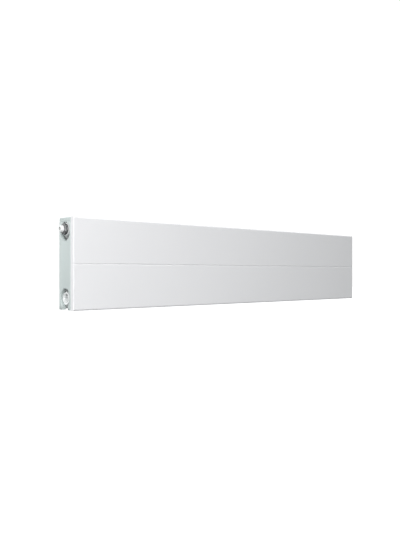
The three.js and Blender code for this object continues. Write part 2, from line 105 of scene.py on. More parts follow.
def rounded(points, radius, steps=6):
    """An open path of 2-D points with its inner corners rounded."""
    path = [points[0]]
    for before, corner, after in zip(points, points[1:], points[2:]):
        b, c, a = (Vector(p).to_2d() for p in (before, corner, after))
        to_b = (b - c).normalized()
        to_a = (a - c).normalized()
        half = math.acos(max(-1, min(1, to_b.dot(to_a)))) / 2
        reach = min(radius / math.tan(half), (b - c).length / 2, (a - c).length / 2)
        start, end = c + to_b * reach, c + to_a * reach
        for i in range(steps + 1):
            t = i / steps
            path.append(tuple(start * (1 - t) ** 2 + c * 2 * t * (1 - t) + end * t ** 2))
    path.append(points[-1])
    return path


def thicken(path, thickness):
    """The closed outline of a strip whose middle line is the path."""
    points = np.array(path, float)
    along = np.gradient(points, axis=0)
    along /= np.linalg.norm(along, axis=1)[:, None]
    normal = np.stack([-along[:, 1], along[:, 0]], axis=1) * thickness / 2
    return [tuple(p) for p in np.vstack([points + normal, (points - normal)[::-1]])]


def lathe(bm, profile, centre, axis="X", side=1, steps=64):
    """Turns a closed or axis-to-axis profile of (distance along the axis, radius)."""
    closed = profile[0] == profile[-1]
    points = profile[:-1] if closed else profile
    rows = []
    poles = {i: None for i, (_, r) in enumerate(points) if r == 0}
    for k in range(steps):
        angle = 2 * math.pi * k / steps
        ring = []
        for i, (a, r) in enumerate(points):
            if i in poles and poles[i] is not None:
                ring.append(poles[i])
                continue
            u, v = r * math.cos(angle), r * math.sin(angle)
            if axis == "X":
                vert = bm.verts.new((side * a, centre[0] + u, centre[1] + v))
            else:
                vert = bm.verts.new((centre[0] + u, a, centre[1] + v))
            if i in poles:
                poles[i] = vert
            ring.append(vert)
        rows.append(ring)
    rows.append(rows[0])
    loft(bm, rows, closed)


def prism(bm, outline, low, high, axis):
    """A closed 2-D outline swept along an axis: X takes (y, z), Y (x, z) and Z (x, y)."""
    place = {
        "X": lambda p, d: (d, p[0], p[1]),
        "Y": lambda p, d: (p[0], d, p[1]),
        "Z": lambda p, d: (p[0], p[1], d),
    }[axis]
    lower = row(bm, [place(p, low) for p in outline])
    upper = row(bm, [place(p, high) for p in outline])
    loft(bm, [lower, upper], closed=True)
    bm.faces.new(lower)
    bm.faces.new(upper)


def fill(bm, loops):
    """Fills flat closed loops of vertices, the inner ones as holes."""
    edges = []
    for loop in loops:
        for a, b in zip(loop, loop[1:] + loop[:1]):
            edges.append(bm.edges.get((a, b)) or bm.edges.new((a, b)))
    bmesh.ops.triangle_fill(bm, use_beauty=True, edges=edges)


def face_outward(bm, direction):
    """Turns an open skin so that its faces look towards the direction on the whole."""
    bmesh.ops.recalc_face_normals(bm, faces=bm.faces)
    bm.normal_update()
    total = sum((f.normal * f.calc_area() for f in bm.faces), Vector())
    if total.dot(Vector(direction)) < 0:
        bmesh.ops.reverse_faces(bm, faces=bm.faces)


def make(name, bm, closed=True):
    """A new object from a mesh in the working frame, which is moved into the row frame."""
    if closed:
        bmesh.ops.recalc_face_normals(bm, faces=bm.faces)
    mesh = bpy.data.meshes.new(name)
    bm.to_mesh(mesh)
    bm.free()
    mesh.transform(TO_ROW)
    piece = bpy.data.objects.new(name, mesh)
    bpy.context.scene.collection.objects.link(piece)
    return piece


def apply_modifiers(piece):
    graph = bpy.context.evaluated_depsgraph_get()
    mesh = bpy.data.meshes.new_from_object(piece.evaluated_get(graph))
    piece.modifiers.clear()
    piece.data = mesh
    mesh.name = piece.name


def solidify(piece, thickness):
    """Gives an open skin its sheet thickness, on the side away from its normals."""
    modifier = piece.modifiers.new("sheet", "SOLIDIFY")
    modifier.thickness = thickness * MM
    modifier.offset = -1
    modifier.use_even_offset = True


def bevel(piece, width, segments=2, angle=35):
    modifier = piece.modifiers.new("edge", "BEVEL")
    modifier.width = width * MM
    modifier.segments = segments
    modifier.limit_method = "ANGLE"
    modifier.angle_limit = math.radians(angle)
    modifier.harden_normals = True


def cut(piece, bm, operation="DIFFERENCE"):
    """Cuts a piece with a closed tool drawn in the working frame."""
    tool = make("tool", bm)
    modifier = piece.modifiers.new("cut", "BOOLEAN")
    modifier.operation = operation
    modifier.solver = "EXACT"
    modifier.object = tool
    apply_modifiers(piece)
    bpy.data.objects.remove(tool)


def settle(piece, body, nodes, material, sharp=32):
    """Applies what is left, shades the piece, hides the CAD nodes it stands for, and gives it
    its body and finish.
    """
    apply_modifiers(piece)
    piece.data.shade_smooth()
    piece.data.set_sharp_from_angle(angle=math.radians(sharp))
    piece.data.materials.clear()
    piece.data.materials.append(material)
    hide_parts(*nodes)
    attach(piece, body)


def refine(node, body, material, width=0.25, segments=2):
    """A copy of a CAD node with its flat faces merged and its sharp edges broken."""
    bm = bmesh.new()
    bm.from_mesh(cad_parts[node].data)
    bmesh.ops.remove_doubles(bm, verts=bm.verts, dist=1e-6)
    bmesh.ops.dissolve_limit(
        bm, angle_limit=math.radians(1), verts=bm.verts, edges=bm.edges)
    bm.transform(TO_WORK)
    piece = make(f"{node}_finish", bm)
    bevel(piece, width, segments)
    settle(piece, body, [node], material)


# ---- Materials ----


class Nodes:
    """A short way to build one node material."""

    def __init__(self, name, color, roughness, metallic=0.0):
        self.material = bpy.data.materials.new(name)
        self.material.use_nodes = True
        self.material.diffuse_color = (*color, 1)
        self.tree = self.material.node_tree
        self.shader = self.tree.nodes["Principled BSDF"]
        self.shader.inputs["Base Color"].default_value = (*color, 1)
        self.shader.inputs["Roughness"].default_value = roughness
        self.shader.inputs["Metallic"].default_value = metallic
        self.place = self.tree.nodes.new("ShaderNodeTexCoord").outputs["Object"]

    def link(self, source, target):
        self.tree.links.new(source, target)

    def set(self, socket, value):
        self.shader.inputs[socket].default_value = value

    def stretched(self, scale):
        mapping = self.tree.nodes.new("ShaderNodeMapping")
        mapping.inputs["Scale"].default_value = scale
        self.link(self.place, mapping.inputs["Vector"])
        return mapping.outputs["Vector"]

    def noise(self, scale, detail=3.0, roughness=0.5, vector=None):
        node = self.tree.nodes.new("ShaderNodeTexNoise")
        node.inputs["Scale"].default_value = scale
        node.inputs["Detail"].default_value = detail
        node.inputs["Roughness"].default_value = roughness
        self.link(vector or self.place, node.inputs["Vector"])
        return node.outputs["Fac"]

    def spread(self, source, low, high, start=0.35, end=0.65):
        """The source's values from start to end, taken to low to high."""
        node = self.tree.nodes.new("ShaderNodeMapRange")
        node.inputs["From Min"].default_value = start
        node.inputs["From Max"].default_value = end
        node.inputs["To Min"].default_value = low
        node.inputs["To Max"].default_value = high
        self.link(source, node.inputs["Value"])
        return node.outputs["Result"]

    def color_between(self, factor, first, second):
        node = self.tree.nodes.new("ShaderNodeMix")
        node.data_type = "RGBA"
        node.inputs["A"].default_value = (*first, 1)
        node.inputs["B"].default_value = (*second, 1)
        self.link(factor, node.inputs["Factor"])
        self.link(node.outputs["Result"], self.shader.inputs["Base Color"])

    def bump(self, height, strength, distance):
        node = self.tree.nodes.new("ShaderNodeBump")
        node.inputs["Strength"].default_value = strength
        node.inputs["Distance"].default_value = distance
        self.link(height, node.inputs["Height"])
        self.link(node.outputs["Normal"], self.shader.inputs["Normal"])


def shade(color, factor):
    return tuple(channel * factor for channel in color)


def enamel(name, color, roughness=0.34, peel=0.06):
    """White stoved enamel: a faint orange peel and slight drifts of tone and gloss."""
    nodes = Nodes(name, color, roughness)
    drift = nodes.spread(nodes.noise(4.0, 2.0), 0, 1)
    nodes.color_between(drift, shade(color, 0.99), color)
    gloss = nodes.spread(nodes.noise(26.0, 4.0), roughness - 0.015, roughness + 0.015)
    nodes.link(gloss, nodes.shader.inputs["Roughness"])
    nodes.bump(nodes.noise(420.0, 2.0, 0.45), peel, 0.0004)
    nodes.set("Specular IOR Level", 0.45)
    return nodes.material


def plated(name, color, roughness):
    """Bright plating with fine turning marks and a few duller patches."""
    nodes = Nodes(name, color, roughness, 1.0)
    turning = nodes.noise(900.0, 2.0, 0.5, nodes.stretched((6.0, 1.0, 1.0)))
    patches = nodes.spread(nodes.noise(140.0, 4.0), roughness - 0.03, roughness + 0.06)
    nodes.link(patches, nodes.shader.inputs["Roughness"])
    nodes.color_between(nodes.spread(nodes.noise(90.0, 3.0), 0, 1), shade(color, 0.92), color)
    nodes.bump(turning, 0.03, 0.0002)
    return nodes.material


def moulded(name, color, roughness=0.38):
    """Moulded plastic: a very fine grain under a soft gloss."""
    nodes = Nodes(name, color, roughness)
    gloss = nodes.spread(nodes.noise(300.0, 3.0), roughness - 0.04, roughness + 0.05)
    nodes.link(gloss, nodes.shader.inputs["Roughness"])
    nodes.color_between(nodes.spread(nodes.noise(60.0), 0, 1), shade(color, 0.97), color)
    nodes.bump(nodes.noise(2600.0, 2.0), 0.05, 0.0002)
    nodes.set("Subsurface Weight", 0.08)
    nodes.set("Subsurface Radius", (0.002, 0.002, 0.002))
    return nodes.material


def soft(name, color, roughness, grain):
    """Rubber or foam: matt, with a grain of the given scale."""
    nodes = Nodes(name, color, roughness)
    cells = nodes.noise(grain, 4.0, 0.65)
    nodes.color_between(nodes.spread(cells, 0, 1), shade(color, 0.75), color)
    nodes.bump(cells, 0.4, 0.0004)
    return nodes.material


FRONT_ENAMEL = enamel("front_enamel", (0.86, 0.855, 0.87), 0.24, 0.04)
# The covers and grille share the front's white paint. This copy is painted darker and cooler,
# as painted shade for the dim, cool light on the end faces.
SHADED_COVER_ENAMEL = enamel("cover_enamel", (0.62, 0.685, 0.675), 0.3)
PANEL_ENAMEL = enamel("panel_enamel", (0.82, 0.84, 0.84), 0.4, 0.1)
NICKEL = plated("nickel_plate", (0.36, 0.355, 0.36), 0.2)
# Brass darkened far below its own tone: painted shade for the dark centre of the cap's hole.
SHADE_DARKENED_BRASS = plated("brass_screw", (0.15, 0.13, 0.09), 0.4)
ZINC = plated("spring_steel", (0.66, 0.68, 0.70), 0.34)
CAP_PLASTIC = moulded("white_plastic", (0.90, 0.91, 0.91))
RUBBER = soft("black_rubber", (0.018, 0.018, 0.02), 0.62, 900.0)
FOAM = soft("bonding_foam", (0.56, 0.57, 0.56), 0.9, 500.0)

# ---- Front plate ----

PLATE_SHEET = 1.0
PLATE_SIDE_ROUND = 2.0
PLATE_ROUND = 3.6
PLATE_DEPTH = work_box("front_plate")[1].y
GROOVE_DEPTH = 1.5
GROOVE_HALF = 1.6
GROOVE_REACH = 4.2
HOLD = 0.3


def groove_depth(offset):
    """A pressed V with a rounded bottom and rounded shoulders."""
    t = max(0.0, 1 - abs(offset) / GROOVE_HALF)
    return GROOVE_DEPTH * t * t * (3 - 2 * t)


def folded(half, radius, inner):
    """(Place, depth) pairs across a plate that is folded back at both edges. HOLD keeps
    the face flat next to its bends."""
    bend = arc(half - radius, radius, radius, -90, 0, 8)
    right = [(half - radius - HOLD, 0), *bend, (half, PLATE_DEPTH)]
    return [*((-u, d) for u, d in reversed(right)), *((u, 0) for u in inner), *right]


def front_plate():
    bm = bmesh.new()
    columns = folded(HALF, PLATE_SIDE_ROUND, ())
    groove = np.linspace(-GROOVE_HALF, GROOVE_HALF, 17)
    levels = folded(
        HEIGHT / 2, PLATE_ROUND, [groove[0] - HOLD, *groove, groove[-1] + HOLD])
    loft(bm, [
        row(bm, [(x, a + b - a * b / PLATE_DEPTH, HEIGHT / 2 + z) for x, a in columns])
        for z, b in levels])
    bmesh.ops.remove_doubles(bm, verts=bm.verts, dist=1e-4)
    face_outward(bm, (0, -1, 0))
    bm.normal_update()
    for v in bm.verts:
        fade = max(0.0, 1 - v.co.y / GROOVE_REACH)
        v.co -= v.normal * groove_depth(v.co.z - HEIGHT / 2) * fade
    piece = make("front_plate_skin", bm, closed=False)
    solidify(piece, PLATE_SHEET)
    bevel(piece, SHEET_EDGE, 1, 60)
    settle(piece, "radiator", ["front_plate"], FRONT_ENAMEL)


# ---- Side covers ----

COVER_SHEET = 1.0
COVER_PLANE = work_box("side_cover_right")[1].x
COVER_INNER = work_box("side_cover_right")[0].x
COVER_FRONT, COVER_BACK = (corner.y for corner in work_box("side_cover_right"))
COVER_LOW, COVER_TOP = (corner.z for corner in work_box("side_cover_right"))
COVER_ROUND = 2.5
COVER_BACK_ROUND = 1.5
COVER_FLANGE_END = PANEL_HALF + 0.6
COVER_SEAM = 191.6
COVER_STEP = 1.2
COVER_STEP_BACK = 61.5
OPENING_RADIUS = 20.5
OPENING_LOW = 26.4
OPENING_HIGH = 169.8
SLOT_HALF = 12.0
RIM_DEPTH = 8.0
RIM_ROUND = 1.05
OPENING_STEPS = 56


def keyhole(grow):
    """The lower opening's edge: up one side of the slot, round, and down the other."""
    radius, half = OPENING_RADIUS + grow, SLOT_HALF + grow
    start = -90 - math.degrees(math.asin(half / radius))
    end = -180 - start - 360
    turn = arc(HUB_Y, OPENING_LOW, radius, start, end, OPENING_STEPS)
    return [(HUB_Y - half, COVER_LOW), *turn, (HUB_Y + half, COVER_LOW)]


def round_opening(grow):
    return arc(HUB_Y, OPENING_HIGH, OPENING_RADIUS + grow, 0, 360, OPENING_STEPS)[:-1]


def rim_rows(bm, side, outline):
    """The rows of an opening's rolled rim, from the cover's face inward."""
    rows = []
    for angle in np.radians(np.linspace(0, 90, 6)):
        grow = RIM_ROUND * (1 - math.sin(angle))
        depth = RIM_ROUND * (1 - math.cos(angle))
        rows.append(row(bm, [(side * (COVER_PLANE - depth), y, z) for y, z in outline(grow)]))
    rows.append(row(bm, [(side * (COVER_PLANE - RIM_DEPTH), y, z) for y, z in outline(0)]))
    return rows


def front_bend(inset):
    """A cover's front flange and bend in plan, this far inside its outside."""
    centre = (COVER_PLANE - COVER_ROUND, COVER_FRONT + COVER_ROUND)
    return [
        (COVER_FLANGE_END, COVER_FRONT + inset),
        *arc(*centre, COVER_ROUND - inset, -90, 0, 12)]


def side_cover(end, side):
    bm = bmesh.new()
    back_bend = [
        *arc(COVER_PLANE - COVER_BACK_ROUND, COVER_BACK - COVER_BACK_ROUND,
             COVER_BACK_ROUND, 0, 90, 5),
        (COVER_INNER, COVER_BACK)]
    edges = []
    for path in (front_bend(0), back_bend):
        rows = [row(bm, [(side * x, y, z) for x, y in path]) for z in (COVER_LOW, COVER_SEAM)]
        loft(bm, rows)
        edges.append(rows)
    low_rim = rim_rows(bm, side, keyhole)
    high_rim = rim_rows(bm, side, round_opening)
    loft(bm, low_rim)
    loft(bm, high_rim, closed=True)
    (front_low, front_top), (back_low, back_top) = edges
    step = bm.verts.new((side * COVER_PLANE, COVER_STEP_BACK, COVER_SEAM))
    outline = [front_low[-1], *low_rim[0], back_low[0], back_top[0], step, front_top[-1]]
    fill(bm, [outline, high_rim[0]])
    stepped_in = [*front_bend(COVER_STEP), (COVER_PLANE - COVER_STEP, COVER_STEP_BACK)]
    upper = [
        row(bm, [(side * x, y, z) for x, y in stepped_in]) for z in (COVER_SEAM, COVER_TOP)]
    loft(bm, [[*front_top, step], *upper])
    face_outward(bm, (side, 0, 0))
    piece = make(f"side_cover_{end}_skin", bm, closed=False)
    solidify(piece, COVER_SHEET)
    bevel(piece, SHEET_EDGE, 1, 60)
    # The cover takes the darker, cooler enamel: painted shade on its end face.
    settle(
        piece, "radiator", [f"side_cover_{end}"], SHADED_COVER_ENAMEL)


# ---- Top grille ----

GRILLE_SHEET = 0.7
GRILLE_FRONT, GRILLE_BACK = (corner.y for corner in work_box("top_grille"))
GRILLE_LIP_LOW, GRILLE_TOP = (corner.z for corner in work_box("top_grille"))
GRILLE_FOLD = 1.2
GRILLE_BEAD = 3.6
GRILLE_BEAD_DEPTH = 0.3
GRILLE_SLOT_PITCH = 50 / 3
GRILLE_SLOTS = 58
GRILLE_SLOT_WIDTH = 7.5
GRILLE_SLOT_LENGTH = 19.0
GRILLE_ROWS = (25.4, 49.8)


def slot_outline(x, y, grow=0.0):
    radius = GRILLE_SLOT_WIDTH / 2 + grow
    reach = GRILLE_SLOT_LENGTH / 2 - GRILLE_SLOT_WIDTH / 2
    return [*arc(x, y + reach, radius, 0, 180, 8), *arc(x, y - reach, radius, 180, 360, 8)]


def grille_plan(inset):
    """The pan's outline in plan, from one end of its short front lip round to the other."""
    front, back = COVER_ROUND, COVER_BACK_ROUND
    right = [
        (PANEL_HALF, GRILLE_FRONT + inset),
        *arc(HALF - front, GRILLE_FRONT + front, front - inset, -90, 0, 10),
        *arc(HALF - back, GRILLE_BACK - back, back - inset, 0, 90, 5)]
    return [*right, *((-x, y) for x, y in reversed(right))]


def top_grille():
    bm = bmesh.new()
    fold = [
        (GRILLE_FOLD * (1 - math.sin(a)), GRILLE_FOLD * (1 - math.cos(a)))
        for a in np.radians(np.linspace(0, 90, 6))]
    bead = [
        (0, GRILLE_BEAD - 0.45), (GRILLE_BEAD_DEPTH, GRILLE_BEAD - 0.15),
        (GRILLE_BEAD_DEPTH, GRILLE_BEAD + 0.15), (0, GRILLE_BEAD + 0.45)]
    rows = [
        row(bm, [(x, y, GRILLE_TOP - drop) for x, y in grille_plan(inset)])
        for inset, drop in [*fold, *bead, (0, GRILLE_TOP - GRILLE_LIP_LOW)]]
    closed = rows[:len(fold) + 1]
    loft(bm, closed, closed=True)
    loft(bm, rows[len(fold):])
    loops = [rows[0]]
    for i in range(GRILLE_SLOTS):
        x = (i - (GRILLE_SLOTS - 1) / 2) * GRILLE_SLOT_PITCH
        for y in GRILLE_ROWS:
            upper = row(bm, [(u, v, GRILLE_TOP) for u, v in slot_outline(x, y, 0.3)])
            lower = row(bm, [(u, v, GRILLE_TOP - 0.3) for u, v in slot_outline(x, y)])
            loft(bm, [upper, lower], closed=True)
            loops.append(upper)
    fill(bm, loops)
    face_outward(bm, (0, 0, 1))
    piece = make("top_grille_skin", bm, closed=False)
    solidify(piece, GRILLE_SHEET)
    # The grille takes the same darker, cooler enamel as the covers: painted shade.
    settle(piece, "grille", ["top_grille"], SHADED_COVER_ENAMEL)


# ---- Water panels and convector ----

PANEL_SHEET = 1.2
PANEL_GAP = 0.15
PANEL_BULGE = 5.3
PANEL_LOW, PANEL_TOP = (corner.z for corner in work_box("rear_panel_outer_shell"))
CHANNEL_PITCH = 100 / 3
CHANNELS = 29
CHANNEL_FOOT = 10.5
HEADER_FOOT = 17.0
HEADER_HALF_LENGTH = 485.0
PRESS_SLOPE = 4.0
SLOPE_STEPS = 6


def ease(t):
    t = np.clip(t, 0, 1)
    return t * t * t * (t * (6 * t - 15) + 10)


def channel_x(i):
    return (i - (CHANNELS - 1) / 2) * CHANNEL_PITCH


def pressed_lines():
    """The grid lines of a pressed sheet: close together on the slopes."""
    slope = np.linspace(0, PRESS_SLOPE, SLOPE_STEPS + 1)
    xs = {-PANEL_HALF, PANEL_HALF}
    zs = {PANEL_LOW, PANEL_TOP, HEIGHT / 2}
    for s in slope:
        xs |= {-HEADER_HALF_LENGTH + s, HEADER_HALF_LENGTH - s}
        for z in HUB_Z.values():
            zs |= {z - HEADER_FOOT + s, z + HEADER_FOOT - s}
        for i in range(CHANNELS):
            xs |= {channel_x(i) - CHANNEL_FOOT + s, channel_x(i) + CHANNEL_FOOT - s}
    tidy = [sorted({round(v, 3) for v in values}) for values in (xs, zs)]
    return tidy[0], tidy[1]


def pressed_height(x, z):
    """0 on a land and 1 on a crown of the channels and headers."""
    nearest = min(abs(x - channel_x(i)) for i in range(CHANNELS))
    channel = ease((CHANNEL_FOOT - nearest) / PRESS_SLOPE)
    if not HUB_Z["bottom"] < z < HUB_Z["top"]:
        channel = 0
    header = max(ease((HEADER_FOOT - abs(z - hub)) / PRESS_SLOPE) for hub in HUB_Z.values())
    header *= ease((HEADER_HALF_LENGTH - abs(x)) / PRESS_SLOPE)
    return 1 - (1 - channel) * (1 - header)


def pressed_shell(node, out):
    """One half of a water panel, bulging towards out along Y."""
    low, high = work_box(node)
    seam = high.y + PANEL_GAP if out < 0 else low.y - PANEL_GAP
    land = PANEL_GAP + PANEL_SHEET
    xs, zs = pressed_lines()
    bm = bmesh.new()
    rows = []
    for z in zs:
        heights = [land + (PANEL_BULGE - land) * pressed_height(x, z) for x in xs]
        rows.append(row(bm, [(x, seam + out * h, z) for x, h in zip(xs, heights)]))
    loft(bm, rows)
    face_outward(bm, (0, out, 0))
    piece = make(f"{node}_pressed", bm, closed=False)
    solidify(piece, PANEL_SHEET)
    settle(piece, "radiator", [node], PANEL_ENAMEL, 50)


CONVECTOR_SHEET = 0.6
CONVECTOR_FLAT = 7.5
CONVECTOR_LEAN = 2.0
CONVECTOR_BEND = 2.2


def convector():
    low, high = work_box("convector")
    near = low.y + CONVECTOR_SHEET / 2
    far = high.y - CONVECTOR_SHEET / 2
    path = []
    for i in range(CHANNELS):
        x = channel_x(i)
        path += [(x - CONVECTOR_FLAT, near), (x + CONVECTOR_FLAT, near)]
        if i < CHANNELS - 1:
            gap = CONVECTOR_FLAT + CONVECTOR_LEAN
            path += [(x + gap, far), (x + CHANNEL_PITCH - gap, far)]
    bm = bmesh.new()
    prism(bm, thicken(rounded(path, CONVECTOR_BEND, 4), CONVECTOR_SHEET), low.z, high.z, "Z")
    piece = make("convector_fins", bm)
    settle(piece, "radiator", ["convector"], PANEL_ENAMEL)


# ---- Tees and sockets ----

TEE_RADIUS = 16.0
TEE_NECK = 12.5
TEE_BORE = 10.0
SOCKET_RADIUS = 14.0
SOCKET_FACE = work_box("socket_bottom_right")[1].x
SOCKET_INNER = work_box("socket_bottom_right")[0].x
THREAD_PITCH = 1.814
THREAD_MAJOR = 10.1
THREAD_MINOR = 9.32
MOUTH_RADIUS = 11.2
WELD_RADIUS = 0.9


def tee_x():
    low, _ = work_box("tee_bottom_right")
    return low.x + TEE_RADIUS


def tee(level, end, side):
    node = f"tee_{level}_{end}"
    low, high = work_box(node)
    z = HUB_Z[level]
    outer = rounded([
        (low.y, TEE_BORE), (low.y, TEE_NECK), (low.y + 2.5, TEE_NECK),
        (low.y + 6, TEE_RADIUS), (high.y - 6, TEE_RADIUS), (high.y - 2.5, TEE_NECK),
        (high.y, TEE_NECK), (high.y, TEE_BORE)], 1.6, 5)
    bm = bmesh.new()
    lathe(bm, [*outer, outer[0]], (side * tee_x(), z), "Y")
    piece = make(f"{node}_body", bm)
    bm = bmesh.new()
    lathe(bm, [
        (tee_x(), 0), (tee_x(), SOCKET_RADIUS + 0.3), (HALF, SOCKET_RADIUS + 0.3), (HALF, 0),
    ], (HUB_Y, z), "X", side)
    cut(piece, bm)
    settle(piece, "radiator", [node], PANEL_ENAMEL)


def weld_bead(level, end, side):
    """The painted weld where a socket meets its tee, on the saddle between them."""
    bm = bmesh.new()
    steps, around = 96, 10
    rows = []
    for k in range(steps):
        angle = 2 * math.pi * k / steps
        reach = SOCKET_RADIUS + WELD_RADIUS * 0.4
        ripple = 1 + 0.10 * math.sin(19 * angle) + 0.05 * math.sin(31 * angle + 1)
        u, v = math.cos(angle), math.sin(angle)
        x = tee_x() + math.sqrt(max(TEE_RADIUS ** 2 - (reach * v) ** 2, 0)) + 0.1
        ring = []
        for m in range(around):
            turn = 2 * math.pi * m / around
            out = WELD_RADIUS * ripple * math.cos(turn)
            up = WELD_RADIUS * ripple * math.sin(turn)
            r = reach + out
            ring.append((side * (x + up), HUB_Y + r * u, HUB_Z[level] + r * v))
        rows.append(row(bm, ring))
    rows.append(rows[0])
    loft(bm, rows, closed=True)
    piece = make(f"weld_{level}_{end}", bm)
    piece.data.shade_smooth()
    piece.data.materials.append(PANEL_ENAMEL)
    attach(piece, "radiator")


def thread_radius(x, angle):
    """The bore's radius: a 55 degree thread, opened to a cone at the mouth."""
    turn = (SOCKET_FACE - x) / THREAD_PITCH - angle / (2 * math.pi)
    ridge = abs(2 * (turn - math.floor(turn)) - 1)
    flank = min(max((ridge - 0.12) / 0.76, 0), 1)
    mouth = MOUTH_RADIUS - (SOCKET_FACE - x)
    return max(THREAD_MINOR + (THREAD_MAJOR - THREAD_MINOR) * flank, mouth)


def socket(level, end, side):
    bm = bmesh.new()
    steps = 96
    depths = np.linspace(SOCKET_FACE, SOCKET_INNER, 80)
    outside = rounded([
        (SOCKET_INNER, THREAD_MINOR), (SOCKET_INNER, SOCKET_RADIUS),
        (SOCKET_FACE, SOCKET_RADIUS), (SOCKET_FACE, MOUTH_RADIUS)], 0.7, 4)[1:-1]
    rows = []
    for k in range(steps):
        angle = 2 * math.pi * k / steps
        bore = [(x, thread_radius(x, side * angle)) for x in depths]
        profile = [*outside, *bore]
        rows.append(row(bm, [
            (side * x, HUB_Y + r * math.cos(angle), HUB_Z[level] + r * math.sin(angle))
            for x, r in profile]))
    rows.append(rows[0])
    loft(bm, rows, closed=True)
    piece = make(f"socket_{level}_{end}_threaded", bm)
    settle(
        piece, "radiator", [f"socket_{level}_{end}"], PANEL_ENAMEL, 50)


# ---- Air vent and blanking plug ----

VENT_INNER = -work_box("vent_plug_body")[1].x
VENT_BOSS = -work_box("vent_plug_body")[0].x
HEX_INNER = HALF + 0.9
HEX_OUTER = HALF + 5.0
HEX_ACROSS = 22.0
FLANGE_RADIUS = 12.0
BOSS_RADIUS = 4.6
CAP_BACK = -work_box("vent_nozzle")[1].x
CAP_FACE = -work_box("vent_nozzle")[0].x
CAP_RADIUS = 7.5
CAP_FACE_RADIUS = 6.8
CAP_ROOM = 5.0
CAP_HOLE = 3.4
CAP_WEB = HEX_OUTER + 4.2
HEX_REACH = 14.0
HEX_CHAMFER = 1.2
HEX_FACE_INSET = 0.3
AIR_ROOM_RADIUS = 6.0
AIR_ROOM_END = HALF - 4
ORIFICE_RADIUS = 1.5
BORE_CLEAR = 0.1
PORT_RADIUS = 1.4
PORT_X = HEX_OUTER + 2.6
SCREW_RADIUS = 3.0
SCREW_BORE = SCREW_RADIUS + BORE_CLEAR
SCREW_CHAMFER = 0.4
SCREW_SQUARE = 2.58
SCREW_SHOULDER = 0.5
SCREW_SLOT_HALF = 0.5
SCREW_SLOT_DEPTH = 1.0
SCREW_INNER = -work_box("vent_screw")[1].x
SCREW_TOP = -work_box("vent_screw")[0].x
FLANGE_BACK = HALF - 1.1
VENT_SEAT = HALF + 1.2
SHANK_RADIUS = 9.0
KEY_ACROSS = 10.0
KEY_DEPTH = 6.0


def hex_outline(across, y, z):
    radius = across / math.sqrt(3)
    return arc(y, z, radius, 90, 450, 6)[:-1]


def vent_plug():
    bm = bmesh.new()
    prism(bm, hex_outline(HEX_ACROSS, HUB_Y, VENT_Z), -HEX_OUTER, -HEX_INNER + 0.3, "X")
    hexagon = make("vent_plug_hexagon", bm)
    bm = bmesh.new()
    lathe(bm, [
        (HEX_INNER - 1, 0), (HEX_INNER - 1, HEX_REACH), (HEX_OUTER - HEX_CHAMFER, HEX_REACH),
        (HEX_OUTER, HEX_ACROSS / 2 - HEX_FACE_INSET), (HEX_OUTER, 0)],
        (HUB_Y, VENT_Z), "X", -1, 96)
    cut(hexagon, bm, "INTERSECT")
    bm = bmesh.new()
    lathe(bm, [
        (HEX_INNER - 2, 0), (HEX_INNER - 2, SCREW_BORE), (HEX_OUTER + 1, SCREW_BORE),
        (HEX_OUTER + 1, 0)], (HUB_Y, VENT_Z), "X", -1)
    cut(hexagon, bm)
    bevel(hexagon, 0.18, 2, 25)
    settle(hexagon, "radiator", ["vent_plug_body"], NICKEL)

    profile = rounded([
        (VENT_INNER, AIR_ROOM_RADIUS), (VENT_INNER, SHANK_RADIUS), (FLANGE_BACK, SHANK_RADIUS),
        (FLANGE_BACK, FLANGE_RADIUS), (HEX_INNER, FLANGE_RADIUS), (HEX_INNER, BOSS_RADIUS),
        (VENT_BOSS, BOSS_RADIUS), (VENT_BOSS, SCREW_BORE), (VENT_SEAT, SCREW_BORE),
        (VENT_SEAT, ORIFICE_RADIUS), (AIR_ROOM_END, ORIFICE_RADIUS),
        (AIR_ROOM_END, AIR_ROOM_RADIUS), (VENT_INNER, AIR_ROOM_RADIUS)], 0.35, 3)
    bm = bmesh.new()
    lathe(bm, [*profile[:-1], profile[0]], (HUB_Y, VENT_Z), "X", -1, 96)
    turned = make("vent_plug_turned", bm)
    settle(turned, "radiator", ["vent_plug_body"], NICKEL)


def vent_nozzle():
    profile = rounded([
        (CAP_WEB, CAP_ROOM), (CAP_BACK, CAP_ROOM), (CAP_BACK, CAP_RADIUS),
        (CAP_FACE, CAP_FACE_RADIUS), (CAP_FACE, CAP_HOLE), (CAP_WEB, CAP_HOLE),
        (CAP_WEB, CAP_ROOM)], 0.8, 5)
    bm = bmesh.new()
    lathe(bm, [*profile[:-1], profile[0]], (HUB_Y, VENT_Z), "X", -1, 96)
    piece = make("vent_nozzle_cap", bm)
    bm = bmesh.new()
    prism(bm, arc(-PORT_X, HUB_Y, PORT_RADIUS, 0, 360, 24)[:-1],
          VENT_Z - CAP_RADIUS - 1, VENT_Z - CAP_HOLE, "Z")
    cut(piece, bm)
    settle(piece, "vent_cap", ["vent_nozzle"], CAP_PLASTIC)


